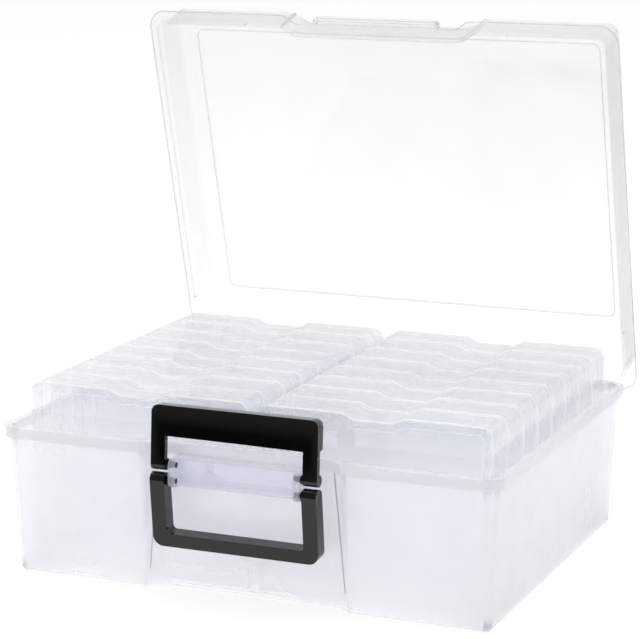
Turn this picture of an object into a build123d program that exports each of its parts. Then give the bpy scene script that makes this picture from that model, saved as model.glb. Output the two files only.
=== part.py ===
"""Clear storage case for photo prints: a tub with a hinged lid, a latch frame and a
carrying handle at the front, and two columns of eight flat inner cases.

Millimetres, +Z up, front towards -Y.  The origin is the middle of the tub's flat base.
The lid is drawn closed and placed open, at the angle that it has at rest.
"""

from build123d import *

import os
from math import atan, cos, degrees, radians, sin, tan

# ---------------------------------------------------------------- tub
RIM_WIDTH = 375.0  # over the rim, left to right
RIM_DEPTH = 294.0  # over the rim, front to back
RIM_HEIGHT = 107.2  # top of the rim
RIM_BAND = 7.5  # height of the turned-down outer band
RIM_OVERHANG = 3.6  # from the band's outer face in to the wall
RIM_SKIN = 1.6  # thickness of the band and of the rim's top
TUB_WALL = 2.0
TUB_FLOOR = 2.4
TUB_DRAFT = 5.7  # how far the wall leans in from the rim to the base
CORNER_RADIUS = 14.0
BASE_EDGE = 2.0  # bevel around the base

# ---------------------------------------------------------------- front recess
RECESS_HALF = 74.0  # half the width at the front face
RECESS_RUN = 9.0  # width of each slanted side
RECESS_STEP = 7.0  # depth
RECESS_BEND = 12.0  # radius of the two bends of each side

# ---------------------------------------------------------------- lid
LID_OPEN = 75.4  # angle at rest, from closed
LID_OVERHANG = 0.7  # the flange passes the rim by this much all round
LID_SEAT_GAP = 0.3
LID_FLANGE = 8.6  # width of the flat flange
LID_SKIN = 2.0
LID_TOP_SKIN = 1.5  # beside the raised panel
LID_HEIGHT = 32.8  # from the rim's top to the top of the lid
LID_EDGE = 2.6  # bevel around the top
LID_CORNER = 8.5
SKIRT_DROP = 3.4  # the inner skirt reaches this far below the rim's top
SKIRT_SKIN = 1.4
SKIRT_CLEARANCE = 0.8
SKIRT_REAR_GAP = 50.0  # the skirt ends this far from the back
SKIRT_FRONT_HALF = 104.5  # and this far from the middle at the front
EMBOSS_HALF_WIDTH = 164.0
EMBOSS_FRONT = 25.0  # from the rim's front to the raised panel
EMBOSS_REAR = 46.0
EMBOSS_RADIUS = 6.0
EMBOSS_RISE = 0.6

# ---------------------------------------------------------------- lid hinge
HINGE_BEHIND_RIM = 4.1
HINGE_BELOW_RIM = 22.3
HINGE_SPACING = 210.0  # between the middles of the two hinges
ARM_WIDTH = 26.0
ARM_SKIN = 3.2
ARM_CLEARANCE = 0.6  # between the rim's band and the arm
KNUCKLE_RADIUS = 4.0
HINGE_PIN_RADIUS = 2.1
LUG_SKIN = 3.0
LUG_CLEARANCE = 0.4  # beside the arm
PIN_CLEARANCE = 0.08

# ---------------------------------------------------------------- inner cases
CASE_ROWS = 8
CASE_LENGTH = 170.7
CASE_HEIGHT = 133.8
CASE_THICKNESS = 31.0
CASE_PITCH = 31.7
COLUMN_GAP = 7.0
FIRST_CASE_FRONT = -123.4
CASE_RADIUS = 8.5
CASE_WALL = 1.2
CASE_SEAT_GAP = 0.2
SEAM_GAP = 0.3  # between a cover and its tray
NOTCH_TOP_HALF = 23.0
NOTCH_BOTTOM_HALF = 13.5
NOTCH_DEPTH = 4.0

# ---------------------------------------------------------------- latch and handle
FRAME_WIDTH = 124.0  # both black frames
LEG_WIDTH = 10.7
LATCH_PIVOT_Y = -151.8
LATCH_PIVOT_Z = 95.4
LATCH_LEAN = 4.3  # backwards at the top, at rest
LATCH_HEIGHT = 41.7  # from the pivot to the top
LATCH_BAR = 21.5
LATCH_KNUCKLE = 4.2  # radius, and thickness of the front plate
HOOK_DEPTH = 4.5  # from the pivot back to the hook's rear edge
HOOK_WALL = 2.4
LATCH_SIDE_WALL = 3.0
LATCH_CORNER = 5.5
LATCH_ENGAGE = 7.0  # further lean that latches the closed lid
LATCH_PASS_GAP = 0.35  # hook to ledge, both ways

HANDLE_PIVOT_Y = -152.6
HANDLE_PIVOT_Z = 84.2
HANDLE_LEAN = 5.3  # inwards at the bottom, at rest
HANDLE_DROP = 46.9  # from the pivot to the bottom
HANDLE_BAR = 9.5
HANDLE_KNUCKLE = 5.5  # half the thickness of the handle
HANDLE_CORNER = 7.5
HANDLE_INNER_CORNER = 3.0

PIN_RADIUS = 2.0
BOSS_RADIUS = 3.2
BOSS_LENGTH = 2.0
BOSS_CLEARANCE = 0.5

# ---------------------------------------------------------------- handle mount on the tub
EAR_SKIN = 4.4
EAR_MARGIN = 4.2  # from a pin's middle to the ear's edge
MOUNT_FRONT = -149.0
MOUNT_SKIN = 1.8
MOUNT_SHELF_DROP = 16.5  # from the mount's top to its lower shelf
MOUNT_RIB_X = -24.0

# ---------------------------------------------------------------- lid latch ledge
LEDGE_HALF = 50.0
LEDGE_LIP = 2.0
LEDGE_RADIUS = 3.0

# ---------------------------------------------------------------- worked out from the above
HINGE_Y = RIM_DEPTH / 2 + HINGE_BEHIND_RIM
HINGE_Z = RIM_HEIGHT - HINGE_BELOW_RIM
WINDOW_HALF = FRAME_WIDTH / 2 - LEG_WIDTH
EAR_OUTER = WINDOW_HALF - BOSS_LENGTH - BOSS_CLEARANCE
SEAT = RIM_HEIGHT + LID_SEAT_GAP
LID_TOP = RIM_HEIGHT + LID_HEIGHT
BAR_BOTTOM = LATCH_HEIGHT - LATCH_BAR
RECESS_SLOPE = atan(RECESS_STEP / RECESS_RUN)
RECESS_FLOOR_Y = -RIM_DEPTH / 2 + RECESS_STEP
TUB_DRAFT_ANGLE = degrees(atan(TUB_DRAFT / RIM_HEIGHT))

latched_lean = radians(LATCH_LEAN + LATCH_ENGAGE)
HOOK_BOTTOM_LATCHED = LATCH_PIVOT_Z + BAR_BOTTOM * cos(latched_lean) - HOOK_DEPTH * sin(latched_lean)
LEDGE_TOP = HOOK_BOTTOM_LATCHED - LATCH_PASS_GAP

rest_lean = radians(LATCH_LEAN)
HOOK_REAR_AT_REST = LATCH_PIVOT_Y + BAR_BOTTOM * sin(rest_lean) + HOOK_DEPTH * cos(rest_lean)
LEDGE_FRONT = HOOK_REAR_AT_REST + LATCH_PASS_GAP

LID_PLACE = Pos(0, HINGE_Y, HINGE_Z) * Rot(-LID_OPEN, 0, 0) * Pos(0, -HINGE_Y, -HINGE_Z)
LATCH_FRAME = Plane(
    origin=(0, LATCH_PIVOT_Y, LATCH_PIVOT_Z),
    x_dir=(1, 0, 0),
    z_dir=(0, -cos(rest_lean), sin(rest_lean)),
)
HANDLE_FRAME = Plane(
    origin=(0, HANDLE_PIVOT_Y, HANDLE_PIVOT_Z),
    x_dir=(1, 0, 0),
    z_dir=(0, -cos(radians(HANDLE_LEAN)), -sin(radians(HANDLE_LEAN))),
)


def opened(plane):
    """Carry a plane from the closed lid to the lid as it stands at rest."""
    return Plane(LID_PLACE * plane.location)


def side_plane(x, y=0.0, z=0.0):
    """A plane across X, with its own x along +Y and its y along +Z."""
    return Plane(origin=(x, y, z), x_dir=(0, 1, 0), z_dir=(1, 0, 0))


def highest(corners):
    """The two highest corners of a sketch."""
    return corners.group_by(Axis.Y)[-1]


def lowest(corners):
    """The two lowest corners of a sketch."""
    return corners.group_by(Axis.Y)[0]


def wall_inset(height):
    """How far the tub's outer wall stands in from the rim's outline at a height."""
    return RIM_OVERHANG + TUB_DRAFT * (RIM_HEIGHT - height) / RIM_HEIGHT


def plan(plane, inset, corner_radius):
    """The outline shared by tub and lid: a rounded rectangle with the front recess."""
    half_x = RIM_WIDTH / 2 - inset
    half_y = RIM_DEPTH / 2 - inset
    shift = inset * tan(RECESS_SLOPE / 2)
    outer_x = RECESS_HALF + shift
    inner_x = outer_x - RECESS_RUN
    outer_bend = RECESS_BEND - inset
    inner_bend = RECESS_BEND + inset
    corners = [
        (-half_x, -half_y),
        (-outer_x, -half_y),
        (-inner_x, -half_y + RECESS_STEP),
        (inner_x, -half_y + RECESS_STEP),
        (outer_x, -half_y),
        (half_x, -half_y),
        (half_x, half_y),
        (-half_x, half_y),
    ]
    bends = [corner_radius, outer_bend, inner_bend, inner_bend, outer_bend]
    bends += [corner_radius, corner_radius, corner_radius]
    with BuildSketch(plane) as outline:
        with BuildLine():
            FilletPolyline(*corners, radius=bends, close=True)
        make_face()
    return outline.sketch


def make_drafted(inset, depth):
    """The shared outline extruded down from the rim's top, its sides leaning in."""
    rim_plane = Plane.XY.offset(RIM_HEIGHT)
    with BuildPart() as body:
        extrude(plan(rim_plane, inset, CORNER_RADIUS - inset), amount=-depth)
        draft(faces().filter_by(Axis.Z, reverse=True), rim_plane, -TUB_DRAFT_ANGLE)
    return body.part


def make_base_tub():
    mount_top = LATCH_PIVOT_Z + EAR_MARGIN
    mount_bottom = HANDLE_PIVOT_Z - EAR_MARGIN
    wall_y = RECESS_FLOOR_Y + wall_inset(mount_bottom)
    top_plane = Plane.XY.offset(RIM_HEIGHT)
    body = make_drafted(RIM_OVERHANG, RIM_HEIGHT)
    hollow = make_drafted(RIM_OVERHANG + TUB_WALL, RIM_HEIGHT - TUB_FLOOR)
    with BuildPart() as tub:
        # Drafted body, bevelled around the base.
        add(body)
        chamfer(edges().group_by(Axis.Z)[0], BASE_EDGE)
        # Rim: a flat top with an outer band turned down, then the hollow.
        extrude(plan(top_plane, 0, CORNER_RADIUS), amount=-RIM_BAND)
        channel_plane = Plane.XY.offset(RIM_HEIGHT - RIM_SKIN)
        channel = plan(channel_plane, RIM_SKIN, CORNER_RADIUS - RIM_SKIN)
        channel -= plan(channel_plane, RIM_OVERHANG, CORNER_RADIUS - RIM_OVERHANG)
        extrude(channel, amount=RIM_SKIN - RIM_BAND, mode=Mode.SUBTRACT)
        add(hollow, mode=Mode.SUBTRACT)
        # Handle mount: two ears joined by a front plate, two shelves and a rib.
        ear = [
            (wall_y, mount_bottom),
            (HANDLE_PIVOT_Y - EAR_MARGIN, mount_bottom),
            (LATCH_PIVOT_Y - EAR_MARGIN, mount_top),
            (wall_y, mount_top),
        ]
        for side in (-1, 1):
            with BuildSketch(side_plane(side * EAR_OUTER)):
                with BuildLine():
                    FilletPolyline(*ear, radius=[0, EAR_MARGIN, EAR_MARGIN, 0], close=True)
                make_face()
                with Locations((HANDLE_PIVOT_Y, HANDLE_PIVOT_Z), (LATCH_PIVOT_Y, LATCH_PIVOT_Z)):
                    Circle(PIN_RADIUS + PIN_CLEARANCE, mode=Mode.SUBTRACT)
            extrude(amount=-side * EAR_SKIN)
        with BuildSketch(side_plane(0)):
            with Locations((MOUNT_FRONT, mount_bottom)):
                Rectangle(MOUNT_SKIN, mount_top - mount_bottom, align=Align.MIN)
            with Locations((MOUNT_FRONT, mount_top), (MOUNT_FRONT, mount_top - MOUNT_SHELF_DROP)):
                Rectangle(wall_y - MOUNT_FRONT, MOUNT_SKIN, align=(Align.MIN, Align.MAX))
        extrude(amount=EAR_OUTER - EAR_SKIN, both=True)
        with BuildSketch(side_plane(MOUNT_RIB_X)):
            with Locations(((wall_y + MOUNT_FRONT) / 2, (mount_top + mount_bottom) / 2)):
                Rectangle(wall_y - MOUNT_FRONT, mount_top - mount_bottom)
        extrude(amount=MOUNT_SKIN / 2, both=True)
        # Hinge lugs on the back wall, a pair for each arm of the lid.
        lug_root = RIM_DEPTH / 2 - wall_inset(HINGE_Z) - TUB_WALL / 2
        lug = [
            (lug_root, HINGE_Z - KNUCKLE_RADIUS - LUG_SKIN),
            (HINGE_Y + KNUCKLE_RADIUS, HINGE_Z - KNUCKLE_RADIUS),
            (HINGE_Y + KNUCKLE_RADIUS, HINGE_Z + KNUCKLE_RADIUS),
            (lug_root, HINGE_Z + KNUCKLE_RADIUS + LUG_SKIN),
        ]
        for hinge_x in (-HINGE_SPACING / 2, HINGE_SPACING / 2):
            for side in (-1, 1):
                inner = hinge_x + side * (ARM_WIDTH / 2 + LUG_CLEARANCE)
                with BuildSketch(side_plane(inner)):
                    with BuildLine():
                        Polyline(*lug, close=True)
                    make_face()
                    with Locations((HINGE_Y, HINGE_Z)):
                        Circle(HINGE_PIN_RADIUS + PIN_CLEARANCE, mode=Mode.SUBTRACT)
                extrude(amount=side * LUG_SKIN)
    return tub


def make_lid():
    root_inset = LID_FLANGE - LID_OVERHANG
    skirt_inset = RIM_OVERHANG + TUB_WALL + SKIRT_CLEARANCE
    seat_plane = opened(Plane.XY.offset(SEAT))
    up = Axis(seat_plane.origin, seat_plane.z_dir)
    with BuildPart() as lid:
        # Raised pan with a bevelled edge, the flange around it and the inner skirt.
        extrude(plan(seat_plane, root_inset, LID_CORNER), amount=LID_TOP - SEAT)
        chamfer(edges().group_by(up)[-1], LID_EDGE)
        extrude(plan(seat_plane, -LID_OVERHANG, CORNER_RADIUS + LID_OVERHANG), amount=LID_SKIN)
        extrude(plan(seat_plane, skirt_inset, CORNER_RADIUS - skirt_inset), amount=-SKIRT_DROP - LID_SEAT_GAP)
        with BuildSketch(seat_plane):
            with Locations((0, RIM_DEPTH / 2)):
                Rectangle(RIM_WIDTH, 2 * SKIRT_REAR_GAP)
            with Locations((0, -RIM_DEPTH / 2)):
                Rectangle(2 * SKIRT_FRONT_HALF, RIM_DEPTH)
        extrude(amount=-SKIRT_DROP - LID_SEAT_GAP, mode=Mode.SUBTRACT)
        skirt_hollow = plan(opened(Plane.XY.offset(SEAT - SKIRT_DROP - LID_SEAT_GAP)),
                            skirt_inset + SKIRT_SKIN, CORNER_RADIUS - skirt_inset - SKIRT_SKIN)
        extrude(skirt_hollow, amount=SKIRT_DROP + LID_SEAT_GAP, mode=Mode.SUBTRACT)
        hollow_inset = root_inset + LID_SKIN
        extrude(plan(seat_plane, hollow_inset, LID_CORNER - LID_SKIN), amount=LID_TOP - LID_TOP_SKIN - SEAT,
                mode=Mode.SUBTRACT)
        # Raised panel on the top.
        with BuildSketch(opened(Plane.XY.offset(LID_TOP))):
            with Locations((0, (EMBOSS_FRONT - EMBOSS_REAR) / 2)):
                RectangleRounded(2 * EMBOSS_HALF_WIDTH, RIM_DEPTH - EMBOSS_FRONT - EMBOSS_REAR, EMBOSS_RADIUS)
        extrude(amount=EMBOSS_RISE)
        # Latch ledge in the recess, with a raised lip on its three free sides.
        ledge_depth = RECESS_FLOOR_Y - LEDGE_FRONT
        with BuildSketch(seat_plane):
            with Locations((0, LEDGE_FRONT)):
                Rectangle(2 * LEDGE_HALF, ledge_depth, align=(Align.CENTER, Align.MIN))
            fillet(lowest(vertices()), LEDGE_RADIUS)
        extrude(amount=LEDGE_TOP - SEAT)
        with BuildSketch(opened(Plane.XY.offset(SEAT + LID_SKIN))):
            with Locations((0, LEDGE_FRONT + LEDGE_LIP)):
                Rectangle(2 * (LEDGE_HALF - LEDGE_LIP), ledge_depth - LEDGE_LIP,
                          align=(Align.CENTER, Align.MIN))
        extrude(amount=LEDGE_TOP - SEAT - LID_SKIN, mode=Mode.SUBTRACT)
        # Hinge arms down the back, each with a knuckle and a pin at both ends.
        arm_front = RIM_DEPTH / 2 + ARM_CLEARANCE
        for hinge_x in (-HINGE_SPACING / 2, HINGE_SPACING / 2):
            with BuildSketch(opened(side_plane(hinge_x))):
                with BuildLine():
                    Polyline(
                        (RIM_DEPTH / 2 - LID_SKIN, SEAT),
                        (arm_front, SEAT),
                        (arm_front, HINGE_Z),
                        (arm_front + ARM_SKIN, HINGE_Z),
                        (arm_front + ARM_SKIN, SEAT + LID_SKIN),
                        (RIM_DEPTH / 2 - LID_SKIN, SEAT + LID_SKIN),
                        close=True,
                    )
                make_face()
                with Locations((HINGE_Y, HINGE_Z)):
                    Circle(KNUCKLE_RADIUS)
            extrude(amount=ARM_WIDTH / 2, both=True)
            with BuildSketch(opened(side_plane(hinge_x))):
                with Locations((HINGE_Y, HINGE_Z)):
                    Circle(HINGE_PIN_RADIUS)
            extrude(amount=ARM_WIDTH / 2 + LUG_CLEARANCE + LUG_SKIN, both=True)
    return lid


def pivots(frame_plane, knuckle_radius):
    """Knuckles, bosses and pins of a frame, one set for each leg, as one part."""
    with BuildPart() as ends:
        for side in (-1, 1):
            leg_plane = Plane(origin=frame_plane.origin + Vector(side * WINDOW_HALF, 0, 0),
                              x_dir=(0, 1, 0), z_dir=(side, 0, 0))
            with BuildSketch(leg_plane):
                Circle(knuckle_radius)
            extrude(amount=LEG_WIDTH)
            with BuildSketch(leg_plane):
                Circle(BOSS_RADIUS)
            extrude(amount=-BOSS_LENGTH)
            with BuildSketch(leg_plane):
                Circle(PIN_RADIUS)
            extrude(amount=-BOSS_LENGTH - BOSS_CLEARANCE - EAR_SKIN)
    return ends.part


def make_latch_handle():
    with BuildPart() as latch:
        # Front plate with its window.
        with BuildSketch(LATCH_FRAME):
            Rectangle(FRAME_WIDTH, LATCH_HEIGHT, align=(Align.CENTER, Align.MIN))
            fillet(highest(vertices()), LATCH_CORNER)
            Rectangle(2 * WINDOW_HALF, BAR_BOTTOM, align=(Align.CENTER, Align.MIN), mode=Mode.SUBTRACT)
        extrude(amount=LATCH_KNUCKLE)
        # Deep rear of the bar, open at the back; its lower wall is the hook.
        with BuildSketch(LATCH_FRAME):
            with Locations((0, BAR_BOTTOM)):
                Rectangle(FRAME_WIDTH, LATCH_BAR, align=(Align.CENTER, Align.MIN))
            fillet(highest(vertices()), LATCH_CORNER)
        extrude(amount=-HOOK_DEPTH)
        with BuildSketch(LATCH_FRAME):
            with Locations((0, BAR_BOTTOM + HOOK_WALL)):
                Rectangle(FRAME_WIDTH - 2 * LATCH_SIDE_WALL, LATCH_BAR - 2 * HOOK_WALL,
                          align=(Align.CENTER, Align.MIN))
            fillet(highest(vertices()), LATCH_CORNER - LATCH_SIDE_WALL)
        extrude(amount=-HOOK_DEPTH, mode=Mode.SUBTRACT)
        add(pivots(LATCH_FRAME, LATCH_KNUCKLE))
    return latch


def make_carry_handle():
    with BuildSketch(HANDLE_FRAME) as window:
        with Locations((0, HANDLE_BAR - HANDLE_DROP)):
            Rectangle(2 * WINDOW_HALF, HANDLE_DROP, align=(Align.CENTER, Align.MIN))
        fillet(lowest(vertices()), HANDLE_INNER_CORNER)
    with BuildPart() as handle:
        with BuildSketch(HANDLE_FRAME):
            Rectangle(FRAME_WIDTH, HANDLE_DROP, align=(Align.CENTER, Align.MAX))
            fillet(lowest(vertices()), HANDLE_CORNER)
        extrude(amount=HANDLE_KNUCKLE, both=True)
        extrude(window.sketch, amount=HANDLE_KNUCKLE, both=True, mode=Mode.SUBTRACT)
        add(pivots(HANDLE_FRAME, HANDLE_KNUCKLE))
    return handle


def case_outline(middle_x, y, inset):
    """Front view of an inner case in the plane at y: round upper corners with a thumb notch."""
    base = Plane(origin=(middle_x, y, TUB_FLOOR + CASE_SEAT_GAP), x_dir=(1, 0, 0), z_dir=(0, -1, 0))
    half = CASE_LENGTH / 2 - inset
    top = CASE_HEIGHT - inset
    slope = atan(NOTCH_DEPTH / (NOTCH_TOP_HALF - NOTCH_BOTTOM_HALF))
    shift = inset * tan(slope / 2)
    upper = NOTCH_TOP_HALF + shift
    lower = NOTCH_BOTTOM_HALF + shift
    corners = [
        (-half, inset),
        (-half, top),
        (-upper, top),
        (-lower, top - NOTCH_DEPTH),
        (lower, top - NOTCH_DEPTH),
        (upper, top),
        (half, top),
        (half, inset),
    ]
    corner = CASE_RADIUS - inset
    bends = [0, corner, 0, 0, 0, 0, corner, 0]
    with BuildSketch(base) as outline:
        with BuildLine():
            FilletPolyline(*corners, radius=bends, close=True)
        make_face()
    return outline.sketch


def make_case_shell(middle_x, seam_y, direction):
    """One half of an inner case: it runs from the seam by half the case's thickness.

    The cover runs towards the front, direction -1, and the tray towards the back, direction 1.
    """
    open_y = seam_y + direction * SEAM_GAP / 2
    depth = (CASE_THICKNESS - SEAM_GAP) / 2
    with BuildPart() as shell:
        extrude(case_outline(middle_x, open_y, 0), amount=-direction * depth)
        extrude(case_outline(middle_x, open_y, CASE_WALL), amount=-direction * (depth - CASE_WALL),
                mode=Mode.SUBTRACT)
    return shell


def write_piece(piece, name):
    """Label a finished piece and write it as one STEP file."""
    piece.part.label = name
    export_step(piece.part, f"parts/{name}.step")


os.makedirs("parts", exist_ok=True)
write_piece(make_base_tub(), "base_tub")
write_piece(make_lid(), "lid")
write_piece(make_latch_handle(), "latch_handle")
write_piece(make_carry_handle(), "carry_handle")
for row in range(1, CASE_ROWS + 1):
    case_seam = FIRST_CASE_FRONT + (row - 1) * CASE_PITCH + CASE_THICKNESS / 2
    for column, side in (("left", -1), ("right", 1)):
        case_middle = side * (COLUMN_GAP + CASE_LENGTH) / 2
        write_piece(make_case_shell(case_middle, case_seam, -1), f"case_cover_{column}_{row}")
        write_piece(make_case_shell(case_middle, case_seam, 1), f"case_tray_{column}_{row}")
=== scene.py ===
"""Looks of the clear photo storage case: materials, small moulded detail, stage, light and camera.

Metres, +Z up, front towards -Y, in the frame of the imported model.
"""
import math

import bmesh
import bpy
from mathutils import Matrix, Vector
from mathutils.bvhtree import BVHTree


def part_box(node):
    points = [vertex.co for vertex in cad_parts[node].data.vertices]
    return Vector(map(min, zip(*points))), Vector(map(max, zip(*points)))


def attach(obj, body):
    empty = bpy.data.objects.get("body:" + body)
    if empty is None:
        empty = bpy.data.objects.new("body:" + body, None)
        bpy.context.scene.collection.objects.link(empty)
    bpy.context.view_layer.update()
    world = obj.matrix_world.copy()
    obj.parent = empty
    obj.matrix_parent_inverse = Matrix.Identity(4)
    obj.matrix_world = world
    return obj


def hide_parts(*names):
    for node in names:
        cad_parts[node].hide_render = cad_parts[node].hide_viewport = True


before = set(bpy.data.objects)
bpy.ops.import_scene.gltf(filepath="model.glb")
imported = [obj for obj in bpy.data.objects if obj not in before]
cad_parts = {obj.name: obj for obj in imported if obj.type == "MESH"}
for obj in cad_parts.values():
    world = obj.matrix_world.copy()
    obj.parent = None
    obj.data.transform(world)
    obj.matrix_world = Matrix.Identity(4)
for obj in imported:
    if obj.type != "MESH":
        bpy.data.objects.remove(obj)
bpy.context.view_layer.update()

MM = 0.001

# ---------------------------------------------------------------- camera
CAMERA_PLACE = (0.68108, -1.58893, 0.54747)
CAMERA_YAW = 23.27  # degrees, to the left from +Y
CAMERA_PITCH = -12.31
CAMERA_ROLL = -0.275
FOCAL_PIXELS = 2437.1
IMAGE_WIDTH = 640
SENSOR_WIDTH = 36.0

# ---------------------------------------------------------------- colours, linear
CLEAR_TUB = (0.88, 0.885, 0.915)
CLEAR_CASE = (0.77, 0.775, 0.825)
# Painted shade: the upright walls of the inner cases darken to this colour above the rim's height.
CASE_UPPER_SHADE = (0.66, 0.695, 0.75)
# Painted light: the level faces of the inner cases take this lighter colour.
CASE_LEVEL_LIGHT = (0.97, 0.972, 0.985)
SIDE_DENSITY = 0.6  # of an inner case's top and ends, beside its front and back
CLEAR_LID = (0.57, 0.575, 0.60)
# Painted shade: dark lines along the tub's rounds, and darker copies of its plastic for its rim band and
# its handle mount.
TUB_EDGE_SHADE = (0.48, 0.49, 0.60)
TUB_RIM_SHADE = (0.79, 0.80, 0.83)
TUB_MOUNT_SHADE = (0.74, 0.755, 0.88)
# Painted highlight and shade: the cases' rounds and face lines take this pale, denser film, white along
# the lit tops and grey against the white.
CASE_EDGE_LIGHT_AND_SHADE = (0.84, 0.845, 0.87)
# Painted shade: dark lines along the lid's rounds and along its panel's border.
LID_EDGE_SHADE = (0.48, 0.485, 0.51)
LID_LINE_SHADE = (0.55, 0.555, 0.58)
BLACK = (0.0012, 0.0012, 0.0013)
WHITE = (1.0, 1.0, 1.0)

RIM_BAND_LOW = 0.0996  # the tub's faces above this, outside the recess, are its rim
RECESS_HALF = 0.075
RECESS_BACK = -0.13
MOUNT_HALF = 0.061
MOUNT_BACK = -0.1405  # the tub's faces in front of this, between the ears, are the handle mount

# Places of materials: the rounds come second everywhere, and the tub has two more.
EDGES = 1
RIM = 2
MOUNT = 3

# Most transparent surfaces that one line of sight crosses, with room to spare.
CLEAR_LAYERS = 160

WELDED = 0.002 * MM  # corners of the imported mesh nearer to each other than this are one
JOINED = math.radians(0.5)  # faces bent by less than this are joined up
SHARP = math.radians(28)  # edges bent by more than this are rounded
SMOOTH = math.radians(40)  # edges bent by less than this are shaded smooth
THIN_FACE = 0.7 * MM  # steps narrower than this stay as they are, in the finish of the rounds
ROOM_FOR_ROUND = 2.1  # shortest edge beside a round, as a multiple of its width

# Film and gloss of the clear plastic.
TRANSLUCENT_SHARE = 0.45  # of the film's light that comes from behind
UPPER_SHADE_FROM = 0.095  # height at which an upright wall starts to take its painted upper shade
UPPER_SHADE_TO = 0.132
SHINE_AHEAD = 0.04  # of the shine at a glance that is left straight on

# Scales of the noise, per metre, and depths of the bumps.
CLOUD_SCALE = 9.0
GLOSS_SCALE = 30.0
WAVE_SCALE = 70.0
WAVE_DEPTH = 0.0002
FLOW_SCALE = 45.0
GRAIN_SCALE = 220.0
GRAIN_DEPTH = 0.00003

# The black plastic pales where an edge stands out, by how far the surface is pointed there.
WORN_BLACK = (0.03, 0.03, 0.031)
WORN_FROM = 0.53
WORN_TO = 0.62
WORN_MOST = 0.5
PLASTIC_IOR = 1.45


def node(tree, kind, **values):
    """Add a node and set its inputs by name."""
    made = tree.nodes.new(kind)
    for name, value in values.items():
        made.inputs[name.replace("_", " ")].default_value = value
    return made


def calculate(tree, operation, first, second):
    """A Math node; each input is a socket or a number."""
    made = tree.nodes.new("ShaderNodeMath")
    made.operation = operation
    for socket, value in zip(made.inputs, (first, second)):
        if isinstance(value, float):
            socket.default_value = value
        else:
            tree.links.new(value, socket)
    return made.outputs["Value"]


def empty_material(name):
    """A material with only its output, its node tree and that output."""
    made = bpy.data.materials.new(name)
    made.use_nodes = True
    made.node_tree.nodes.clear()
    output = made.node_tree.nodes.new("ShaderNodeOutputMaterial")
    return made, made.node_tree, output


def own_place(tree):
    """Object coordinates, moved for each object so that no two show the same cloud."""
    place = tree.nodes.new("ShaderNodeTexCoord")
    own = tree.nodes.new("ShaderNodeObjectInfo")
    moved = tree.nodes.new("ShaderNodeVectorMath")
    moved.operation = "ADD"
    tree.links.new(place.outputs["Object"], moved.inputs[0])
    tree.links.new(own.outputs["Random"], moved.inputs[1])
    return moved.outputs["Vector"]


def cloud(tree, place, scale, detail, low, high):
    """Noise mapped to a range."""
    noise = node(tree, "ShaderNodeTexNoise", Scale=scale, Detail=detail, Roughness=0.55)
    spread = node(tree, "ShaderNodeMapRange", From_Min=0.3, From_Max=0.7, To_Min=low, To_Max=high)
    tree.links.new(place, noise.inputs["Vector"])
    tree.links.new(noise.outputs["Fac"], spread.inputs["Value"])
    return spread.outputs["Result"]


def bump(tree, place, scale, depth):
    """Fine unevenness of a moulded surface."""
    noise = node(tree, "ShaderNodeTexNoise", Scale=scale, Detail=1.0)
    made = node(tree, "ShaderNodeBump", Strength=1.0, Distance=depth)
    tree.links.new(place, noise.inputs["Vector"])
    tree.links.new(noise.outputs["Fac"], made.inputs["Height"])
    return made.outputs["Normal"]


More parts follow.
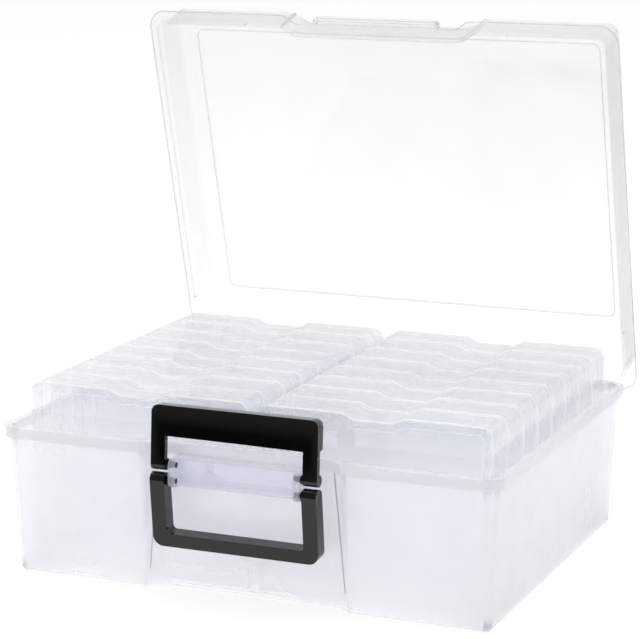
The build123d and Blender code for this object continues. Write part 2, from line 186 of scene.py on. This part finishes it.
def clear_plastic(name, colour, face, edge, shine, roughness, upper_shade=None, level_light=None):
    """Slightly cloudy clear plastic: a pale film, denser where a wall turns away, under a gloss.

    Where a painted upper shade is given, upright walls turn to it from the rim's height up,
    level faces take their painted light, and all but the front and the back faces are clearer.
    """
    made, tree, output = empty_material(name)
    link = tree.links.new
    place = own_place(tree)
    through = node(tree, "ShaderNodeBsdfTransparent")
    front_light = node(tree, "ShaderNodeBsdfDiffuse")
    front_light.inputs["Color"].default_value = (*colour, 1.0)
    back_light = node(tree, "ShaderNodeBsdfTranslucent")
    back_light.inputs["Color"].default_value = (*colour, 1.0)
    # Painted shade: upright walls turn to the darker upper colour from the rim's height up.
    if upper_shade:
        height = tree.nodes.new("ShaderNodeSeparateXYZ")
        link(tree.nodes.new("ShaderNodeTexCoord").outputs["Object"], height.inputs["Vector"])
        rise = node(tree, "ShaderNodeMapRange", From_Min=UPPER_SHADE_FROM, From_Max=UPPER_SHADE_TO)
        link(height.outputs["Z"], rise.inputs["Value"])
        upright = tree.nodes.new("ShaderNodeSeparateXYZ")
        link(tree.nodes.new("ShaderNodeNewGeometry").outputs["Normal"], upright.inputs["Vector"])
        flat = calculate(tree, "ABSOLUTE", upright.outputs["Z"], 0.0)
        wall = calculate(tree, "SUBTRACT", 1.0, flat)
        shade_blend = tree.nodes.new("ShaderNodeMix")
        shade_blend.data_type = "RGBA"
        link(calculate(tree, "MULTIPLY", rise.outputs["Result"], wall), shade_blend.inputs[0])
        shade_blend.inputs[6].default_value = (*colour, 1.0)
        shade_blend.inputs[7].default_value = (*upper_shade, 1.0)
        # Painted light: level faces turn to the lighter colour given for them.
        level = tree.nodes.new("ShaderNodeMix")
        level.data_type = "RGBA"
        link(flat, level.inputs[0])
        link(shade_blend.outputs[2], level.inputs[6])
        level.inputs[7].default_value = (*level_light, 1.0)
        link(level.outputs[2], front_light.inputs["Color"])
        link(level.outputs[2], back_light.inputs["Color"])
    film = node(tree, "ShaderNodeMixShader", Fac=TRANSLUCENT_SHARE)
    link(front_light.outputs["BSDF"], film.inputs[1])
    link(back_light.outputs["BSDF"], film.inputs[2])
    gloss = node(tree, "ShaderNodeBsdfGlossy")
    facing = node(tree, "ShaderNodeLayerWeight", Blend=0.5)
    bend = calculate(tree, "POWER", facing.outputs["Facing"], 3.0)
    dense = node(tree, "ShaderNodeMapRange", To_Min=face, To_Max=edge)
    link(bend, dense.inputs["Value"])
    uneven = cloud(tree, place, CLOUD_SCALE, 2.0, 0.75, 1.25)
    density = calculate(tree, "MULTIPLY", dense.outputs["Result"], uneven)
    if upper_shade:
        clearer = node(tree, "ShaderNodeMapRange", To_Min=SIDE_DENSITY, To_Max=1.0)
        link(calculate(tree, "ABSOLUTE", upright.outputs["Y"], 0.0), clearer.inputs["Value"])
        density = calculate(tree, "MULTIPLY", density, clearer.outputs["Result"])
    link(cloud(tree, place, GLOSS_SCALE, 1.0, roughness * 0.7, roughness * 1.4), gloss.inputs["Roughness"])
    link(bump(tree, place, WAVE_SCALE, WAVE_DEPTH), gloss.inputs["Normal"])
    glance = calculate(tree, "POWER", facing.outputs["Facing"], 5.0)
    mirror = node(tree, "ShaderNodeMapRange", To_Min=SHINE_AHEAD * shine, To_Max=shine)
    link(glance, mirror.inputs["Value"])
    milky = tree.nodes.new("ShaderNodeMixShader")
    shiny = tree.nodes.new("ShaderNodeMixShader")
    link(density, milky.inputs["Fac"])
    link(through.outputs["BSDF"], milky.inputs[1])
    link(film.outputs["Shader"], milky.inputs[2])
    link(mirror.outputs["Result"], shiny.inputs["Fac"])
    link(milky.outputs["Shader"], shiny.inputs[1])
    link(gloss.outputs["BSDF"], shiny.inputs[2])
    link(shiny.outputs["Shader"], output.inputs["Surface"])
    return made


def black_plastic(name):
    """Glossy black moulding with a faint flow pattern and paler, worn edges."""
    made, tree, output = empty_material(name)
    link = tree.links.new
    place = own_place(tree)
    body = node(tree, "ShaderNodeBsdfPrincipled", IOR=PLASTIC_IOR)
    worn = node(tree, "ShaderNodeMix")
    worn.data_type = "RGBA"
    geometry = tree.nodes.new("ShaderNodeNewGeometry")
    pale = node(tree, "ShaderNodeMapRange", From_Min=WORN_FROM, From_Max=WORN_TO, To_Max=WORN_MOST)
    link(geometry.outputs["Pointiness"], pale.inputs["Value"])
    link(pale.outputs["Result"], worn.inputs[0])
    worn.inputs[6].default_value = (*BLACK, 1.0)
    worn.inputs[7].default_value = (*WORN_BLACK, 1.0)
    link(worn.outputs[2], body.inputs["Base Color"])
    link(cloud(tree, place, FLOW_SCALE, 4.0, 0.06, 0.13), body.inputs["Roughness"])
    link(bump(tree, place, GRAIN_SCALE, GRAIN_DEPTH), body.inputs["Normal"])
    link(body.outputs["BSDF"], output.inputs["Surface"])
    return made


# ---------------------------------------------------------------- softened copies of the CAD nodes
def softened(name, width, segments, chosen=None, clamped=False):
    """A copy of a CAD node's mesh with flat faces joined up and its sharp edges rounded.

    Where chosen is given, only the edges for which it is true are rounded.  A clamped round
    shrinks where it has too little room.  Rounds and very narrow faces take the second material.
    """
    work = bmesh.new()
    work.from_mesh(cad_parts[name].data)
    bmesh.ops.remove_doubles(work, verts=work.verts, dist=WELDED)
    bmesh.ops.dissolve_limit(work, angle_limit=JOINED, verts=work.verts, edges=work.edges)
    thin = set()
    for face in work.faces:
        if face.calc_area() < THIN_FACE * max(line.calc_length() for line in face.edges):
            thin.add(face)
            face.material_index = EDGES
    tight = set()
    for line in work.edges:
        if line.calc_length() < ROOM_FOR_ROUND * width:
            tight.update(line.verts)
    sharp = []
    for line in work.edges:
        if len(line.link_faces) == 2 and line.calc_face_angle() > SHARP:
            if chosen is None:
                if not thin.intersection(line.link_faces) and not tight.intersection(line.verts):
                    sharp.append(line)
            elif chosen(line):
                sharp.append(line)
    rounds = bmesh.ops.bevel(work, geom=sharp, offset=width, offset_type="OFFSET", segments=segments,
                             profile=0.5, affect="EDGES", clamp_overlap=clamped, loop_slide=True)
    for face in rounds["faces"]:
        face.material_index = EDGES
    for face in work.faces:
        face.smooth = True
    for line in work.edges:
        line.smooth = len(line.link_faces) == 2 and line.calc_face_angle() < SMOOTH
    mesh = bpy.data.meshes.new(name + "_soft")
    work.to_mesh(mesh)
    work.free()
    return mesh


def show(name, mesh, body, materials, replaced=None, place=(0.0, 0.0, 0.0), even=True):
    """Put a mesh in the scene as a piece that rides on a body; its rounds take the second material."""
    piece = bpy.data.objects.new(name, mesh)
    bpy.context.scene.collection.objects.link(piece)
    piece.location = place
    if not mesh.materials:
        for material in materials:
            mesh.materials.append(material)
    if even:
        normals = piece.modifiers.new("even_normals", "WEIGHTED_NORMAL")
        normals.keep_sharp = True
    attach(piece, body)
    if replaced:
        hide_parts(replaced)
    return piece


# Each finish: name, colour, density straight on and at a glance, shine, roughness.
# The tub's rounds, rim band and handle mount take painted shade.
tub_finish = (
    clear_plastic("tub_plastic", CLEAR_TUB, 0.30, 0.6, 0.8, 0.14),
    clear_plastic("tub_edges", TUB_EDGE_SHADE, 0.5, 0.7, 1.0, 0.1),
    clear_plastic("tub_rim", TUB_RIM_SHADE, 0.4, 0.7, 0.8, 0.14),
    clear_plastic("tub_mount", TUB_MOUNT_SHADE, 0.28, 0.8, 1.0, 0.08),
)
# The lid's rounds and its panel line take painted shade as dark lines.
lid_finish = (
    clear_plastic("lid_plastic", CLEAR_LID, 0.075, 0.2, 1.0, 0.10),
    clear_plastic("lid_edges", LID_EDGE_SHADE, 0.5, 0.7, 1.0, 0.08),
    clear_plastic("lid_line", LID_LINE_SHADE, 0.35, 0.5, 1.0, 0.08),
)
# The cases' rounds take painted highlights along their tops and grey painted shade as outlines.
case_finish = (
    clear_plastic("case_plastic", CLEAR_CASE, 0.13, 0.45, 1.0, 0.12, CASE_UPPER_SHADE, CASE_LEVEL_LIGHT),
    clear_plastic("case_edges", CASE_EDGE_LIGHT_AND_SHADE, 0.6, 0.8, 1.0, 0.08),
)
black_finish = (black_plastic("frame_plastic"),) * 2

TUB_ROUND = 0.5 * MM
LID_ROUND = 0.6 * MM
LATCH_ROUND = 0.6 * MM
HANDLE_ROUND = 0.8 * MM
tub_soft = softened("base_tub", TUB_ROUND, 2, clamped=True)
# Painted shade: the rim band and the handle mount take darker copies of the tub's plastic.
for face in tub_soft.polygons:
    x, y, z = face.center
    in_recess = abs(x) < RECESS_HALF and y < RECESS_BACK
    if face.material_index == 0:
        if z > RIM_BAND_LOW and not in_recess:
            face.material_index = RIM
        elif z < RIM_BAND_LOW and abs(x) < MOUNT_HALF and y < MOUNT_BACK:
            face.material_index = MOUNT
show("tub_visual", tub_soft, "base", tub_finish, "base_tub")
show("lid_visual", softened("lid", LID_ROUND, 2), "lid", lid_finish, "lid")
show("latch_visual", softened("latch_handle", LATCH_ROUND, 3), "latch", black_finish,
     "latch_handle")
show("handle_visual", softened("carry_handle", HANDLE_ROUND, 3), "handle", black_finish,
     "carry_handle")

# The inner cases are one moulding in sixteen places.  So many layers would make the light that
# falls on the rest noisy, so they are left out of it.
CASE_ROWS = 8
CASE_ROUND = 1.6 * MM
ON_FACE = 0.1 * MM  # how near a corner is to the face that it is taken to lie in


def outer_edges(kind):
    """Whether an edge lies in the closed outer face of a cover or a tray."""
    low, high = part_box(f"case_{kind}_left_1")
    outer = low.y if kind == "cover" else high.y
    return lambda line: all(abs(corner.co.y - outer) < ON_FACE for corner in line.verts)


case_meshes = {
    kind: softened(f"case_{kind}_left_1", CASE_ROUND, 3, outer_edges(kind), True)
    for kind in ("cover", "tray")
}
first_low = {kind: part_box(f"case_{kind}_left_1")[0] for kind in case_meshes}
for kind, mesh in case_meshes.items():
    for column in ("left", "right"):
        for row in range(1, CASE_ROWS + 1):
            cad_name = f"case_{kind}_{column}_{row}"
            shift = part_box(cad_name)[0] - first_low[kind]
            case = show(f"{cad_name}_visual", mesh, f"case_{column}_{row}", case_finish,
                        cad_name, shift)
            case.visible_shadow = False
            case.visible_diffuse = False


# ---------------------------------------------------------------- small moulded detail and painted lines
BAND_TOP = 0.6  # width of a band's outer face, as a part of its foot
MERGED = 0.001 * MM  # points of a band nearer to each other than this are one


def band_mesh(name, path, sideways, thickness):
    """A flat band along a path of points; sideways is half its width at every point."""
    work = bmesh.new()
    rings = []
    for point, side, up in path:
        half = side * sideways
        rise = up * thickness
        top = half * BAND_TOP
        corners = (point - half, point + half, point + top + rise, point - top + rise)
        rings.append([work.verts.new(corner) for corner in corners])
    for first, second in zip(rings, rings[1:]):
        for k in range(4):
            work.faces.new((first[k], first[(k + 1) % 4], second[(k + 1) % 4], second[k]))
    if (path[0][0] - path[-1][0]).length > MERGED:
        work.faces.new(rings[0][::-1])
        work.faces.new(rings[-1])
    bmesh.ops.remove_doubles(work, verts=work.verts, dist=MERGED)
    bmesh.ops.recalc_face_normals(work, faces=work.faces)
    mesh = bpy.data.meshes.new(name)
    work.to_mesh(mesh)
    work.free()
    return mesh


# Opening of the lid: points of the closed lid are carried to where it stands at rest.
LID_ANGLE = math.radians(75.4)
HINGE_POINT = Vector((0.0, 0.1511, 0.0849))
OPENED = Matrix.Translation(HINGE_POINT)
OPENED @= Matrix.Rotation(-LID_ANGLE, 4, "X")
OPENED @= Matrix.Translation(-HINGE_POINT)

# Border line of the lid's raised panel, on its inner face, drawn as a painted dark line.
PANEL_HALF = 0.164
PANEL_FRONT = -0.122
PANEL_BACK = 0.101
PANEL_CORNER = 0.006
CEILING = 0.1385  # of the closed lid
PANEL_LINE_HALF = 0.3 * MM
LINE_THICKNESS = 0.12 * MM
QUARTER = [math.radians(15 * step) for step in range(7)]  # directions around a rounded corner
line_path = []
for centre_x, centre_y, start in (
    (PANEL_HALF - PANEL_CORNER, PANEL_BACK - PANEL_CORNER, 0),
    (PANEL_CORNER - PANEL_HALF, PANEL_BACK - PANEL_CORNER, 90),
    (PANEL_CORNER - PANEL_HALF, PANEL_FRONT + PANEL_CORNER, 180),
    (PANEL_HALF - PANEL_CORNER, PANEL_FRONT + PANEL_CORNER, 270),
):
    centre = Vector((centre_x, centre_y, CEILING))
    for turn in QUARTER:
        angle = math.radians(start) + turn
        out = Vector((math.cos(angle), math.sin(angle), 0.0))
        line_path.append((centre + out * PANEL_CORNER, out, Vector((0, 0, -1))))
line_path.append(line_path[0])
panel_line = band_mesh("panel_line", line_path, PANEL_LINE_HALF, LINE_THICKNESS)
panel_line.transform(OPENED)
show("panel_line", panel_line, "lid", lid_finish[2:], even=False)

# Line inside the face of each inner case, parallel to its top edge and its notch, drawn as a painted light
# line in the finish of the cases' rounds.
CASE_SKIN = 0.0012
CASE_LINE_HALF = 0.35 * MM
LINE_INSET = 0.0065
LINE_CORNER = 0.004
LINE_END = 0.02  # above the case's base
NOTCH_TOP_HALF = 0.023
NOTCH_BOTTOM_HALF = 0.0135
NOTCH_DEPTH = 0.004


def case_line():
    """Mesh of the line, for the front left case."""
    low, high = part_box("case_cover_left_1")
    middle = (low.x + high.x) / 2
    reach = high.x - middle - LINE_INSET
    top = high.z - LINE_INSET
    half = [(reach, low.z + LINE_END)]
    for angle in QUARTER:
        half.append((
            reach - LINE_CORNER + LINE_CORNER * math.cos(angle),
            top - LINE_CORNER + LINE_CORNER * math.sin(angle),
        ))
    half += [(NOTCH_TOP_HALF, top), (NOTCH_BOTTOM_HALF, top - NOTCH_DEPTH)]
    flat = half + [(-x, z) for x, z in reversed(half)]
    corners = [Vector((middle + x, low.y + CASE_SKIN, z)) for x, z in flat]
    path = []
    for k, corner in enumerate(corners):
        along = (corners[min(k + 1, len(corners) - 1)] - corners[max(k - 1, 0)]).normalized()
        path.append((corner, along.cross(Vector((0, 1, 0))), Vector((0, 1, 0))))
    return band_mesh("case_line", path, CASE_LINE_HALF, LINE_THICKNESS)


line_mesh = case_line()
for column in ("left", "right"):
    for row in range(1, CASE_ROWS + 1):
        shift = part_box(f"case_cover_{column}_{row}")[0] - first_low["cover"]
        line = show(f"case_line_{column}_{row}", line_mesh, f"case_{column}_{row}",
                    case_finish[1:], place=shift, even=False)
        line.visible_shadow = False
        line.visible_diffuse = False

# Painted shade: dark bands along the creases where the recess turns into the front wall; they lean
# outwards towards the base.
CREASE_STEPS = 12
CREASE_TOP = Vector((0.0665, -0.3, 0.0985))  # in front of the wall, where the ray starts
CREASE_FALL = Vector((0.0075, 0.0, -0.085))  # from its top to its foot
CREASE_HALF = 0.5 * MM
CREASE_THICKNESS = 0.1 * MM
tub_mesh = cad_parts["base_tub"].data
tub_tree = BVHTree.FromPolygons([v.co for v in tub_mesh.vertices], [f.vertices for f in tub_mesh.polygons])
for side_name, side in (("left", -1), ("right", 1)):
    crease_path = []
    for step in range(CREASE_STEPS + 1):
        start = CREASE_TOP + CREASE_FALL * (step / CREASE_STEPS)
        start.x *= side
        wall = tub_tree.ray_cast(start, Vector((0, 1, 0)))[0]
        crease_path.append((wall, Vector((1, 0, 0)), Vector((0, -1, 0))))
    crease_shade = band_mesh(f"recess_crease_{side_name}", crease_path, CREASE_HALF, CREASE_THICKNESS)
    show(f"recess_crease_{side_name}", crease_shade, "base", tub_finish[1:2], even=False)


# ---------------------------------------------------------------- stage
FLOOR_FRONT = -0.6
FLOOR_BACK = 5.0
FLOOR_HALF = 4.0
FLOOR_WHITE = (0.8, 0.8, 0.8)
FLOOR_SEEN = (0.35, 0.35, 0.35)  # what the camera sees: light and shadow at less contrast, ...
FLOOR_GLOW = 0.64  # ... and the rest as a glow, so that the floor reads just white


def make_floor():
    """A pale floor that keeps the shadow of the case."""
    corners = [
        (-FLOOR_HALF, FLOOR_FRONT, 0.0),
        (FLOOR_HALF, FLOOR_FRONT, 0.0),
        (FLOOR_HALF, FLOOR_BACK, 0.0),
        (-FLOOR_HALF, FLOOR_BACK, 0.0),
    ]
    sheet = bpy.data.meshes.new("floor")
    sheet.from_pydata(corners, [], [(0, 1, 2, 3)])
    floor = bpy.data.objects.new("floor", sheet)
    bpy.context.scene.collection.objects.link(floor)
    made, tree, output = empty_material("floor_white")
    body = node(tree, "ShaderNodeBsdfDiffuse")
    body.inputs["Color"].default_value = (*FLOOR_WHITE, 1.0)
    pale = node(tree, "ShaderNodeBsdfDiffuse")
    pale.inputs["Color"].default_value = (*FLOOR_SEEN, 1.0)
    glow = node(tree, "ShaderNodeEmission", Strength=FLOOR_GLOW)
    path = tree.nodes.new("ShaderNodeLightPath")
    seen = tree.nodes.new("ShaderNodeMixShader")
    both = tree.nodes.new("ShaderNodeAddShader")
    tree.links.new(pale.outputs["BSDF"], both.inputs[0])
    tree.links.new(glow.outputs["Emission"], both.inputs[1])
    tree.links.new(path.outputs["Is Camera Ray"], seen.inputs["Fac"])
    tree.links.new(body.outputs["BSDF"], seen.inputs[1])
    tree.links.new(both.outputs["Shader"], seen.inputs[2])
    tree.links.new(seen.outputs["Shader"], output.inputs["Surface"])
    sheet.materials.append(made)


WORLD_LIGHT = 0.95
WORLD_FRONT = 0.03  # what gloss sees of the dark studio in front
DARK_TO = -0.25  # towards the back, the dark front turns bright between these two
BRIGHT_FROM = 0.35
TOP_WATTS = 34.0
LEFT_WATTS = 5.0


def make_world():
    """White for the camera, an even light for the object, dark in front for reflections."""
    world = bpy.data.worlds.new("studio")
    world.use_nodes = True
    bpy.context.scene.world = world
    tree = world.node_tree
    tree.nodes.clear()
    link = tree.links.new
    output = tree.nodes.new("ShaderNodeOutputWorld")
    path = tree.nodes.new("ShaderNodeLightPath")
    place = tree.nodes.new("ShaderNodeTexCoord")
    split = tree.nodes.new("ShaderNodeSeparateXYZ")
    sides = node(tree, "ShaderNodeMapRange", From_Min=DARK_TO, From_Max=BRIGHT_FROM, To_Min=WORLD_FRONT)
    even = node(tree, "ShaderNodeBackground", Strength=WORLD_LIGHT)
    even.inputs["Color"].default_value = (*WHITE, 1.0)
    gloss = node(tree, "ShaderNodeBackground")
    gloss.inputs["Color"].default_value = (*WHITE, 1.0)
    plain = node(tree, "ShaderNodeBackground", Strength=1.0)
    plain.inputs["Color"].default_value = (*WHITE, 1.0)
    lit = tree.nodes.new("ShaderNodeMixShader")
    seen = tree.nodes.new("ShaderNodeMixShader")
    link(place.outputs["Generated"], split.inputs["Vector"])
    link(split.outputs["Y"], sides.inputs["Value"])
    link(sides.outputs["Result"], gloss.inputs["Strength"])
    link(path.outputs["Is Glossy Ray"], lit.inputs["Fac"])
    link(even.outputs["Background"], lit.inputs[1])
    link(gloss.outputs["Background"], lit.inputs[2])
    link(path.outputs["Is Camera Ray"], seen.inputs["Fac"])
    link(lit.outputs["Shader"], seen.inputs[1])
    link(plain.outputs["Background"], seen.inputs[2])
    link(seen.outputs["Shader"], output.inputs["Surface"])


def make_lamp(name, place, target, size, watts):
    """A soft lamp that the camera doesn't see."""
    data = bpy.data.lights.new(name, "AREA")
    data.shape = "RECTANGLE"
    data.size, data.size_y = size
    data.energy = watts
    lamp = bpy.data.objects.new(name, data)
    bpy.context.scene.collection.objects.link(lamp)
    lamp.location = place
    aim = Vector(target) - Vector(place)
    lamp.rotation_euler = aim.to_track_quat("-Z", "Y").to_euler()
    lamp.visible_camera = False


def make_camera():
    """The camera at the photo's place."""
    data = bpy.data.cameras.new("camera")
    data.sensor_fit = "HORIZONTAL"
    data.sensor_width = SENSOR_WIDTH
    data.lens = FOCAL_PIXELS / IMAGE_WIDTH * SENSOR_WIDTH
    data.clip_start = 0.05
    data.clip_end = 50.0
    camera = bpy.data.objects.new("camera", data)
    bpy.context.scene.collection.objects.link(camera)
    turn = Matrix.Rotation(math.radians(CAMERA_YAW), 4, "Z")
    turn @= Matrix.Rotation(math.radians(90 + CAMERA_PITCH), 4, "X")
    turn @= Matrix.Rotation(math.radians(CAMERA_ROLL), 4, "Z")
    camera.matrix_world = Matrix.Translation(CAMERA_PLACE) @ turn
    bpy.context.scene.camera = camera


make_floor()
make_world()
make_lamp("top_light", (0.0, 0.5, 2.2), (0.0, 0.0, 0.0), (2.4, 1.8), TOP_WATTS)
make_lamp("left_light", (-1.8, -1.0, 1.3), (0.0, 0.0, 0.1), (1.2, 1.6), LEFT_WATTS)
make_camera()

scene = bpy.context.scene
scene.view_settings.view_transform = "Standard"
scene.cycles.transparent_max_bounces = CLEAR_LAYERS
